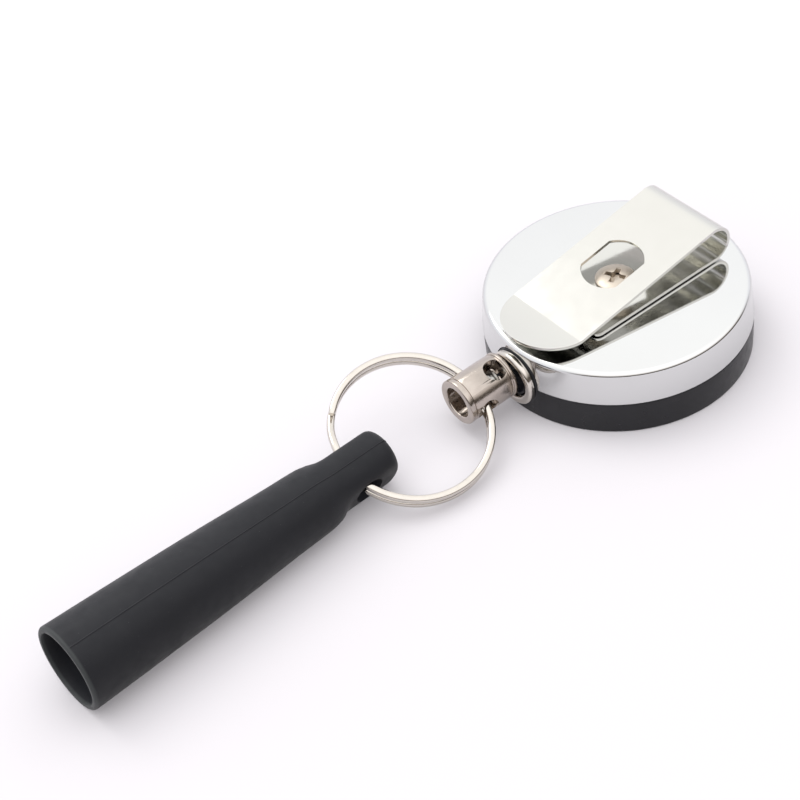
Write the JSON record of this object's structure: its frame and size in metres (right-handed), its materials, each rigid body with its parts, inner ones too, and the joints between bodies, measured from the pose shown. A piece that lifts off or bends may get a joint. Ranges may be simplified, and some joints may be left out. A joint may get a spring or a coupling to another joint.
{
  "type": "retractable badge reel",
  "caption": "Round retractable badge reel with a chrome cover, spring belt clip, swivel fitting, split ring and an open rubber tool sleeve.",
  "frame": {"origin": "centre of the flat front face that the reel lies on", "axes": "+X the way the cord pulls out, +Z out of the back cover towards the belt clip"},
  "size_m": [0.1174, 0.0402, 0.0171],
  "materials": {
    "cover_chrome": "polished chrome plate",
    "clip_chrome": "bright chrome plate on spring steel",
    "black_plastic": "slightly glossy black plastic",
    "face_disc": "plain satin disc",
    "nickel": "bright nickel plate",
    "screw": "nickel plate",
    "steel": "turned steel",
    "spring_steel": "blued strip",
    "acetal": "natural acetal",
    "cord": "braided nylon",
    "rubber": "matt moulded rubber"
  },
  "bodies": {
    "reel": {"front_housing": "black_plastic", "back_cover": "cover_chrome", "face_disc": "face_disc", "arbor_post": "steel", "cord_run": "cord", "exit_eyelet": "nickel", "exit_liner": "black_plastic", "clip_base": "clip_chrome", "clip_screw": "screw"},
    "spool": {"spool": "acetal", "power_spring": "spring_steel", "spring_cover": "acetal", "cord_winding": "cord", "cord_knot": "cord"},
    "cord_end": {"cord_ferrule": "steel", "cord_tail": "cord"},
    "fitting": {"swivel_barrel": "nickel"},
    "ring": {"split_ring": "nickel"},
    "sleeve": {"tool_sleeve": "rubber"},
    "clip_leaf": {"clip_leaf": "clip_chrome"}
  },
  "joints": [
    {"name": "cord_pull", "type": "slide", "parent": "reel", "child": "cord_end", "axis": [1, 0, 0], "range_m": [0, 0.6], "stiffness_N_per_m": 0.8, "springref_m": -0.6},
    {"name": "spool_spin", "type": "hinge", "parent": "reel", "child": "spool", "pos_m": [0, 0, 0.0057], "axis": [0, 0, 1], "continuous": true},
    {"name": "fitting_swivel", "type": "hinge", "parent": "cord_end", "child": "fitting", "pos_m": [0.025, -0.0017, 0.0057], "axis": [1, 0, 0], "continuous": true},
    {"name": "ring_swing", "type": "hinge", "parent": "fitting", "child": "ring", "pos_m": [0.02635, -0.0017, 0.0057], "axis": [0, -0.9304, 0.3665], "range_deg": [-80, 80]},
    {"name": "sleeve_pivot", "type": "hinge", "parent": "ring", "child": "sleeve", "pos_m": [0.04816, -0.00191, 0.00492], "axis": [0, -0.9304, 0.3665], "range_deg": [-80, 80]},
    {"name": "clip_flex", "type": "hinge", "parent": "reel", "child": "clip_leaf", "pos_m": [-0.0161, 0, 0.0142], "axis": [0, -1, 0], "range_deg": [0, 8], "stiffness_Nm_per_rad": 1.8}
  ],
  "couplings": [
    {"joint": "spool_spin", "follows": "cord_pull", "rad_per_m": 77.5}
  ]
}
